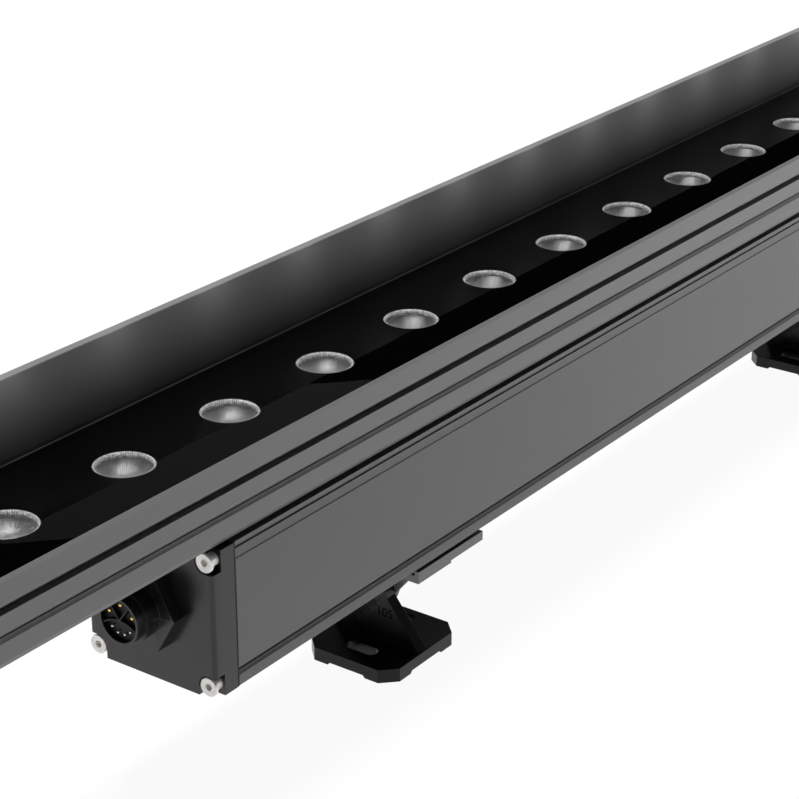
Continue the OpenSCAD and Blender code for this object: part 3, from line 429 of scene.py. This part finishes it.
def turned(name, outline, finish, steps):
    """A solid of revolution round Z from points (radius, height), with the share of a turn and
    the distance along the outline as its UV map."""
    uv_per_metre = 100
    bm = bmesh.new()
    uv = bm.loops.layers.uv.new("turn")
    lengths = [0.0]
    for a, b in zip(outline, outline[1:]):
        lengths.append(lengths[-1] + math.dist(a, b))
    rings = [ring(bm, radius, height, steps) for radius, height in outline]
    for k, (low, high) in enumerate(zip(rings, rings[1:])):
        for i in range(steps):
            j = (i + 1) % steps
            corners = {}
            for vert, turn, place in (
                (low[i % len(low)], i, k), (low[j % len(low)], i + 1, k),
                (high[j % len(high)], i + 1, k + 1), (high[i % len(high)], i, k + 1),
            ):
                corners.setdefault(vert, (turn, place))
            if len(corners) < 3:
                continue
            face = bm.faces.new(list(corners))
            for corner, (turn, place) in zip(face.loops, corners.values()):
                corner[uv].uv = (turn / steps, lengths[place] * uv_per_metre)
    bmesh.ops.recalc_face_normals(bm, faces=bm.faces)
    return mesh_piece(name, bm, finish, smooth=True)


# Geometry node trees: a row of equal pieces, and pieces set on a list of places

def geometry_tree(name, inputs):
    tree = bpy.data.node_groups.new(name, "GeometryNodeTree")
    tree.interface.new_socket("Geometry", in_out="INPUT", socket_type="NodeSocketGeometry")
    ids = {}
    for label, kind, value in inputs:
        socket = tree.interface.new_socket(label, in_out="INPUT", socket_type=kind)
        if value is not None:
            socket.default_value = value
        ids[label] = socket.identifier
    tree.interface.new_socket("Geometry", in_out="OUTPUT", socket_type="NodeSocketGeometry")
    return tree, ids, tree.nodes.new("NodeGroupInput"), tree.nodes.new("NodeGroupOutput")


def finish_tree(tree, inp, out, instances):
    real = tree.nodes.new("GeometryNodeRealizeInstances")
    paint = tree.nodes.new("GeometryNodeSetMaterial")
    tree.links.new(instances, real.inputs[0])
    tree.links.new(real.outputs[0], paint.inputs["Geometry"])
    tree.links.new(inp.outputs["Finish"], paint.inputs["Material"])
    tree.links.new(paint.outputs[0], out.inputs[0])


def build_row_tree():
    tree, ids, inp, out = geometry_tree("row_of_pieces", [
        ("Piece", "NodeSocketObject", None),
        ("Finish", "NodeSocketMaterial", None),
        ("Count", "NodeSocketInt", lens_count),
        ("Pitch", "NodeSocketFloat", lens_pitch),
        ("Start", "NodeSocketVector", (0.0, 0.0, 0.0)),
    ])
    line = tree.nodes.new("GeometryNodeMeshLine")
    step = tree.nodes.new("ShaderNodeCombineXYZ")
    info = tree.nodes.new("GeometryNodeObjectInfo")
    put = tree.nodes.new("GeometryNodeInstanceOnPoints")
    tree.links.new(inp.outputs["Count"], line.inputs["Count"])
    tree.links.new(inp.outputs["Start"], line.inputs["Start Location"])
    tree.links.new(inp.outputs["Pitch"], step.inputs["X"])
    tree.links.new(step.outputs[0], line.inputs["Offset"])
    tree.links.new(inp.outputs["Piece"], info.inputs["Object"])
    tree.links.new(line.outputs[0], put.inputs["Points"])
    tree.links.new(info.outputs["Geometry"], put.inputs["Instance"])
    finish_tree(tree, inp, out, put.outputs[0])
    return tree, ids


def build_places_tree():
    tree, ids, inp, out = geometry_tree("pieces_on_places", [
        ("Piece", "NodeSocketObject", None),
        ("Finish", "NodeSocketMaterial", None),
        ("Size", "NodeSocketFloat", 1.0),
    ])
    info = tree.nodes.new("GeometryNodeObjectInfo")
    facing = tree.nodes.new("GeometryNodeInputNamedAttribute")
    facing.data_type = "FLOAT_VECTOR"
    facing.inputs["Name"].default_value = "facing"
    align = tree.nodes.new("FunctionNodeAlignRotationToVector")
    align.axis = "Z"
    put = tree.nodes.new("GeometryNodeInstanceOnPoints")
    tree.links.new(inp.outputs["Piece"], info.inputs["Object"])
    tree.links.new(facing.outputs["Attribute"], align.inputs["Vector"])
    tree.links.new(inp.outputs["Geometry"], put.inputs["Points"])
    tree.links.new(info.outputs["Geometry"], put.inputs["Instance"])
    tree.links.new(align.outputs[0], put.inputs["Rotation"])
    tree.links.new(inp.outputs["Size"], put.inputs["Scale"])
    finish_tree(tree, inp, out, put.outputs[0])
    return tree, ids


row_tree = build_row_tree()
places_tree = build_places_tree()


def grown(name, mesh, tree_and_ids, source, finish, **inputs):
    """Runs a tree on a carrier mesh, keeps the result as a plain piece, and drops the carrier
    and the source piece."""
    tree, ids = tree_and_ids
    carrier = bpy.data.objects.new(name + "_carrier", mesh)
    scene.collection.objects.link(carrier)
    change = carrier.modifiers.new("grow", "NODES")
    change.node_group = tree
    change[ids["Piece"]] = source
    change[ids["Finish"]] = finishes[finish]
    for label, value in inputs.items():
        change[ids[label]] = value
    bpy.context.view_layer.update()
    graph = bpy.context.evaluated_depsgraph_get()
    result = bpy.data.meshes.new_from_object(carrier.evaluated_get(graph))
    result.name = name
    piece = bpy.data.objects.new(name, result)
    scene.collection.objects.link(piece)
    carrier.modifiers.clear()
    for extra in (carrier, source):
        bpy.data.objects.remove(extra)
    return piece


def lens_row(name, source, finish):
    """One piece at each lens."""
    start = (-(lens_count - 1) / 2 * lens_pitch, lens_y, lens_low_z)
    mesh = bpy.data.meshes.new(name + "_row")
    return grown(
        name, mesh, row_tree, source, finish, Count=lens_count, Pitch=lens_pitch, Start=start
    )


def pieces_at(name, source, finish, places):
    """places: (point, direction) pairs. The source piece points along +Z."""
    mesh = bpy.data.meshes.new(name + "_places")
    mesh.from_pydata([point for point, _ in places], [], [])
    facing = mesh.attributes.new("facing", "FLOAT_VECTOR", "POINT")
    for item, (_, direction) in zip(facing.data, places):
        item.vector = direction
    return grown(name, mesh, places_tree, source, finish, Size=1.0)


# Extrusions, caps, feet and shells: node, body, finish, slot, width of the bevel in mm

for name, body, finish, slot, width in (
    ("tray", "lamp", "grey_coat", "grey_coat", 0.12),
    ("visor", "lamp", "visor_coat_painted_light", "grey_coat", 0.2),
    ("driver_housing", "lamp", "housing_coat_painted_shade", "grey_coat", 0.12),
    ("clamp_plate_left", "left_bracket", "grey_coat", "grey_coat", 0.25),
    ("clamp_plate_right", "right_bracket", "grey_coat", "grey_coat", 0.25),
    ("housing_cap_left", "lamp", "black_coat", "black_coat", 0.3),
    ("housing_cap_right", "lamp", "black_coat", "black_coat", 0.3),
    ("tray_end_left", "lamp", "black_coat", "black_coat", 0.3),
    ("tray_end_right", "lamp", "black_coat", "black_coat", 0.3),
    ("foot_left", "left_foot", "foot_coat_painted_shade", "black_coat", 0.35),
    ("foot_right", "right_foot", "foot_coat_painted_shade", "black_coat", 0.35),
    ("inlet_shell", "lamp", "black_coat", "black_coat", 0.2),
    ("outlet_shell", "lamp", "black_coat", "black_coat", 0.2),
):
    soften(name, finish, slot, body, width * mm)


# Solids that stay as they are: finish, slot, nodes

for finish, slot, names in (
    ("clear_glass", "clear_glass", ["cover_glass"]),
    ("black_plate", "black_plate", ["window_plate"]),
    ("black_plastic", "black_plastic", ["inlet_insert", "outlet_insert"]),
    ("holder_painted_light_and_shade", "white_plastic", ["lens_holders"]),
    ("board_finish", "white_plastic", ["led_boards"]),
    ("white_plastic", "white_plastic", ["driver_terminals"]),
    ("phosphor", "phosphor", ["leds"]),
    ("seal_rubber", "seal_rubber", [
        "glass_gasket", "tray_seal_left", "tray_seal_right", "cap_seal_left", "cap_seal_right",
        "inlet_seal", "outlet_seal", "wire_grommet",
    ]),
    ("steel", "steel", [
        "visor_screws", "board_screws", "tray_end_screws", "joining_screws", "inlet_lock_nut",
        "outlet_lock_nut", "slot_nuts_left", "slot_nuts_right", "clamp_screws_left",
        "clamp_screws_right",
    ]),
    ("black_steel", "steel", [
        "pivot_bolt_left", "pivot_bolt_right", "pivot_washer_left", "pivot_washer_right",
    ]),
    ("gold_contact", "gold_contact", ["outlet_contacts"]),
    ("green_board", "green_board", ["driver_board"]),
    ("dark_core", "dark_core", ["driver_transformer"]),
    ("blue_sleeve", "blue_sleeve", ["driver_capacitors"]),
    ("copper_wire", "copper_wire", ["driver_chokes"]),
    ("red_sleeve", "red_sleeve", ["input_leads", "output_leads", "led_leads"]),
):
    for name in names:
        dress(name, finish)


# Lenses: a bell with a flange, a bowl on top and a hollow over the light source, and a pale
# collar inside each rim, painted light for the lens's bright ridged wall

def lens_outline():
    """Radius and height, from the hollow round the outside to the middle of the bowl."""
    hollow = [(0.0, 5.0), (1.4, 4.7), (2.7, 3.8), (2.7, 0.0)]
    bell = [(5.0, 0.0), (6.0, 2.2), (7.5, 4.7), (8.8, 7.3), (9.9, 10.1), (10.7, 12.6)]
    flange = [(11.9, 12.6), (11.9, 13.6), (10.7, 13.6)]
    rim = [(10.7, 14.5), (10.6, 14.6), (10.4, 14.6), (9.6, 12.7)]
    bowl_radii = (9.4, 8.8, 8.2, 7.6, 7.0, 6.3, 5.5, 4.7, 3.9, 3.0, 2.0, 1.0, 0.0)
    bowl_low, bowl_rise = 8.6, 3.9
    bowl = [(r, bowl_low + bowl_rise * (r / bowl_radii[0]) ** 2) for r in bowl_radii]
    return [(r * mm, z * mm) for r, z in hollow + bell + flange + rim + bowl]


def collar_outline():
    inner = [(10.62, 14.48), (10.5, 14.62), (10.38, 14.5), (9.58, 12.6)]
    outer = [(9.46, 12.7), (10.28, 14.62), (10.5, 14.66)]
    return [(r * mm, z * mm) for r, z in inner + outer]


def flute_bowl(mesh):
    """Presses radial flutes into the bowl, deeper towards its rim."""
    count, depth = 32, 0.05 * mm
    inner, outer, lowest = 2.5 * mm, 9.5 * mm, 8.5 * mm
    for vert in mesh.vertices:
        radius = math.hypot(vert.co.x, vert.co.y)
        if inner < radius < outer and vert.co.z > lowest:
            share = (radius - inner) / (outer - inner)
            vert.co.z += depth * share * math.cos(count * math.atan2(vert.co.y, vert.co.x))


lens = turned("lens_source", lens_outline(), "clear_lens", steps=128)
flute_bowl(lens.data)
lens.data.set_sharp_from_angle(angle=math.radians(40))
settle(lens_row("lens_row", lens, "clear_lens"), "lamp", "clear_lens", "lenses")

collar = turned("collar_source", collar_outline(), "collar_painted_light", steps=96)
settle(lens_row("lens_collars", collar, "collar_painted_light"), "lamp", "clear_lens")


# Cap screws: a thin flat head with a hexagon socket on a neck, four at each end

def cap_screw_source():
    """The head's top lies at z = 0 and the shank runs to -z."""
    steps, round_steps = 48, 4
    head_r, head_t, rounding = 3.65 * mm, 1.3 * mm, 0.35 * mm
    neck_r, neck_end = 2.5 * mm, 4.9 * mm
    shank_r, shank_end = 2 * mm, 21.6 * mm
    key_r, key_depth = 1.5 * mm, 2.2 * mm
    sink_r, sink_depth = key_r * 1.45, 0.12 * mm
    sink_foot_r, mouth_depth = key_r * 1.25, 0.2 * mm
    flat_share = 0.866

    rows = [(sink_foot_r, -sink_depth), (sink_r, 0.0)]
    for k in range(round_steps + 1):
        angle = math.pi / 2 * k / round_steps
        rows.append((
            head_r - rounding * (1 - math.sin(angle)), -rounding * (1 - math.cos(angle))
        ))
    rows += [(head_r, -head_t + rounding / 2), (head_r - rounding / 2, -head_t)]
    rows += [(neck_r, -head_t), (neck_r, -neck_end)]
    rows += [(shank_r, -neck_end), (shank_r, -shank_end)]

    bm = bmesh.new()
    rings = [ring(bm, radius, height, steps) for radius, height in rows]
    socket = []
    for depth in (-mouth_depth, -key_depth):
        hexagon = []
        for i in range(steps):
            angle = math.tau * i / steps
            from_flat = (angle + math.pi / 6) % (math.pi / 3) - math.pi / 6
            reach = key_r * flat_share / math.cos(from_flat)
            hexagon.append(bm.verts.new((
                reach * math.cos(angle), reach * math.sin(angle), depth
            )))
        socket.append(hexagon)
    for surface in (rings, [rings[0]] + socket):
        for low, high in zip(surface, surface[1:]):
            for i in range(steps):
                j = (i + 1) % steps
                bm.faces.new((low[i], low[j], high[j], high[i]))
        bm.faces.new(surface[-1])
    bmesh.ops.recalc_face_normals(bm, faces=bm.faces)
    piece = mesh_piece("cap_screw", bm, "bright_steel", smooth=True)
    piece.data.set_sharp_from_angle(angle=math.radians(32))
    return piece


def cap_screw_places():
    from_side, from_bottom, from_top = 3.5 * mm, 4.3 * mm, 4 * mm
    reach = body_half_width - from_side
    return [
        ((end * cap_face_x, y, z), (end, 0, 0))
        for end in (-1, 1)
        for y in (lens_y - reach, lens_y + reach)
        for z in (housing_z + from_bottom, housing_top_z - from_top)
    ]


settle(
    pieces_at("cap_screw_set", cap_screw_source(), "bright_steel", cap_screw_places()),
    "lamp", "steel", "cap_screws",
)


# Round-ended contacts in the inlet

def contact_source(name, radius, finish):
    """The tip lies at z = 0 and the pin runs to -z."""
    steps, round_steps, length = 24, 5, 29.9 * mm
    rows = [(0.0, 0.0)]
    for k in range(1, round_steps + 1):
        angle = math.pi / 2 * k / round_steps
        rows.append((radius * math.sin(angle), -radius * (1 - math.cos(angle))))
    rows += [(radius, -length), (0.0, -length)]
    return turned(name, rows, finish, steps)


def contact_places(spots):
    """spots: places in mm, across and up from the connector's axis."""
    tip_x = -cap_face_x - barrel_length + 1 * mm
    return [
        ((tip_x, lens_y - across * mm, connector_z + up * mm), (-1, 0, 0))
        for across, up in spots
    ]


for kind, radius, finish, slot, spots in (
    ("power", 0.85, "gold_contact", "gold_contact", [(5.2, 2.2), (0, 5.8), (-5.2, 2.2)]),
    ("signal", 0.55, "silver_contact", "steel",
     [(4.15, -3.5), (1.55, -5.2), (-1.55, -5.2), (-4.15, -3.5)]),
):
    pin = contact_source(kind + "_pin", radius * mm, finish)
    contacts = pieces_at("inlet_" + kind + "_contacts", pin, finish, contact_places(spots))
    settle(contacts, "lamp", slot, "inlet_" + kind + "_pins")


# Angle scale on the upright: strokes along a slanting line, and two numbers

def flat_stroke(bm, start, end, width, lift):
    """A thin bar in the YZ plane, standing out towards -X."""
    along = (end - start).normalized()
    across = Vector((-along.y, along.x)) * width / 2
    corners = [start + across, start - across, end - across, end + across]
    back = [bm.verts.new((0, c.x, c.y)) for c in corners]
    front = [bm.verts.new((-lift, c.x, c.y)) for c in corners]
    bm.faces.new(front)
    bm.faces.new(list(reversed(back)))
    for i in range(4):
        j = (i + 1) % 4
        bm.faces.new((back[i], back[j], front[j], front[i]))


def add_number(bm, digits, height, middle_y, middle_z):
    """Adds a number on the upright's face, read from -X."""
    size_per_height = 1.4
    curve = bpy.data.curves.new("number", "FONT")
    curve.body = digits
    curve.size = height * size_per_height
    curve.extrude = 0.03 * mm
    curve.align_x = "CENTER"
    curve.align_y = "CENTER"
    holder = bpy.data.objects.new("number", curve)
    scene.collection.objects.link(holder)
    bpy.context.view_layer.update()
    graph = bpy.context.evaluated_depsgraph_get()
    mesh = bpy.data.meshes.new_from_object(holder.evaluated_get(graph))
    mesh.transform(Matrix((
        (0, 0, -1, 0), (-1, 0, 0, middle_y), (0, 1, 0, middle_z), (0, 0, 0, 1)
    )))
    bm.from_mesh(mesh)
    bpy.data.objects.remove(holder)


def angle_scale(side):
    """The strokes' line and the numbers' middles are (y, z) in mm on the upright."""
    start, end = Vector((0.6, 22.4)), Vector((14.0, 11.2))
    stroke_count, stroke_width, long_stroke, short_stroke = 12, 0.5, 3.2, 2.2
    stroke_lift, sunk, number_height = 0.05 * mm, 0.01 * mm, 4.0 * mm
    along = (end - start).normalized()
    across = Vector((-along.y, along.x))
    bm = bmesh.new()
    for i in range(stroke_count):
        spot = start + (end - start) * i / (stroke_count - 1)
        half = across * (long_stroke if i % 3 == 0 else short_stroke) / 2
        flat_stroke(
            bm, (spot - half) * mm, (spot + half) * mm, stroke_width * mm, stroke_lift
        )
    for digits, y, z in (("105", -4.4, 19.0), ("75", 8.6, 8.6)):
        add_number(bm, digits, number_height, y * mm, z * mm)
    bmesh.ops.recalc_face_normals(bm, faces=bm.faces)
    piece = mesh_piece("angle_scale_" + side, bm, "mark_paint", smooth=False)
    face_x = foot_places[side] + upright_face_x - sunk
    piece.data.transform(Matrix.Translation((face_x, lens_y, 0)))
    settle(piece, side + "_foot", "black_plastic")


for side in foot_places:
    angle_scale(side)


# Floor and world

def seen_directly(tree):
    """1 for what the camera sees, straight, in a reflection or through glass."""
    ray = tree.nodes.new("ShaderNodeLightPath")
    seen = maths(tree, "MAXIMUM", ray.outputs["Is Camera Ray"], ray.outputs["Is Glossy Ray"])
    return maths(tree, "MAXIMUM", seen, ray.outputs["Is Transmission Ray"])


def floor_finish():
    """A pale floor, shown nearly white with only part of the object's shadow."""
    white_share = 0.945
    material, tree, shader = new_finish(
        "floor", Base_Color=(0.86, 0.86, 0.86), Roughness=0.8, Specular_IOR_Level=0.0
    )
    white = tree.nodes.new("ShaderNodeEmission")
    white.inputs["Strength"].default_value = 1.0
    mix = tree.nodes.new("ShaderNodeMixShader")
    tree.links.new(maths(tree, "MULTIPLY", seen_directly(tree), white_share), mix.inputs[0])
    tree.links.new(shader.outputs[0], mix.inputs[1])
    tree.links.new(white.outputs[0], mix.inputs[2])
    tree.links.new(mix.outputs[0], tree.nodes["Material Output"].inputs["Surface"])
    return material


bpy.ops.mesh.primitive_plane_add(size=80, location=(0, 0, -0.2 * mm))
floor = bpy.context.object
floor.name = "floor"
floor.data.materials.append(floor_finish())


def build_world():
    """A dark sky over a white horizon, with a little light all round for matt surfaces."""
    white_to, dark_from, matt_fill = 0.19, 0.24, 0.02
    world = bpy.data.worlds.new("world")
    scene.world = world
    world.use_nodes = True
    sky = world.node_tree
    where = sky.nodes.new("ShaderNodeTexCoord").outputs["Generated"]
    height = parts_of(sky, where)["Z"]
    horizon = faded(sky, height, white_to, dark_from, at_low=1.0, at_high=0.0)
    glow = maths(sky, "MULTIPLY", seen_directly(sky), horizon)
    ray = sky.nodes.new("ShaderNodeLightPath")
    fill = maths(sky, "MULTIPLY", ray.outputs["Is Diffuse Ray"], matt_fill)
    background = sky.nodes["Background"]
    background.inputs["Color"].default_value = (1, 1, 1, 1)
    sky.links.new(maths(sky, "ADD", glow, fill), background.inputs["Strength"])


build_world()


# Lamps

def hang_lamp(name, kind, power, place, direction):
    data = bpy.data.lights.new(name, kind)
    data.energy = power
    lamp = bpy.data.objects.new(name, data)
    lamp.location = place
    lamp.rotation_euler = direction.to_track_quat("-Z", "Y").to_euler()
    lamp.visible_camera = False
    scene.collection.objects.link(lamp)
    return lamp


def softbox(name, place, aim, width, height, power):
    lamp = hang_lamp(name, "AREA", power, place, Vector(aim) - Vector(place))
    lamp.data.shape = "RECTANGLE"
    lamp.data.size = width
    lamp.data.size_y = height
    return lamp


# The high light's round image would lie in the glass, so reflections and rays through the
# glass don't see it
sun = bpy.data.lights.new("high_light", "SUN")
sun.energy = 4.6
sun.angle = math.radians(14)
high_light = bpy.data.objects.new("high_light", sun)
high_light.rotation_euler = (math.radians(-6), 0, 0)
high_light.visible_glossy = False
high_light.visible_transmission = False
scene.collection.objects.link(high_light)

# Seen only in reflections: the light patch in each lens's bowl
gloss_panel = softbox(
    "gloss_panel", (-0.1, 0.35, 2.3), (-0.1, 0, 0.14), width=1.2, height=0.8, power=56
)
gloss_panel.visible_diffuse = False
gloss_panel.visible_transmission = False

# Its reflection is the grey patch in the glass
softbox("dim_panel", (1.42, 1.49, 1.21), (0, 0, 0.14), width=1.4, height=0.2, power=0.12)

# From below and in front: the tray's and the housing's near sides
softbox("low_light", (-0.3, -1.45, 0.01), (-0.3, -1.45, 1), width=2.2, height=2.2, power=3)
near_light = softbox(
    "near_light", (0.4, -0.26, 0.004), (0.4, -0.26, 1), width=1.0, height=0.12, power=1.5
)
near_light.visible_glossy = False

# Soft patches of light along the top of the visor
glow_count, first_glow_x, glow_pitch = 19, -484.6 * mm, 52.8 * mm
for i in range(glow_count):
    place = (first_glow_x + glow_pitch * i, 16.5 * mm, 177 * mm)
    glow = hang_lamp("visor_glow", "SPOT", 0.0044, place, Vector((0, 1, -0.9)))
    glow.data.spot_size = math.radians(110)
    glow.data.spot_blend = 1.0
    glow.data.shadow_soft_size = 4 * mm
    glow.visible_glossy = False

scene.view_settings.view_transform = "Standard"
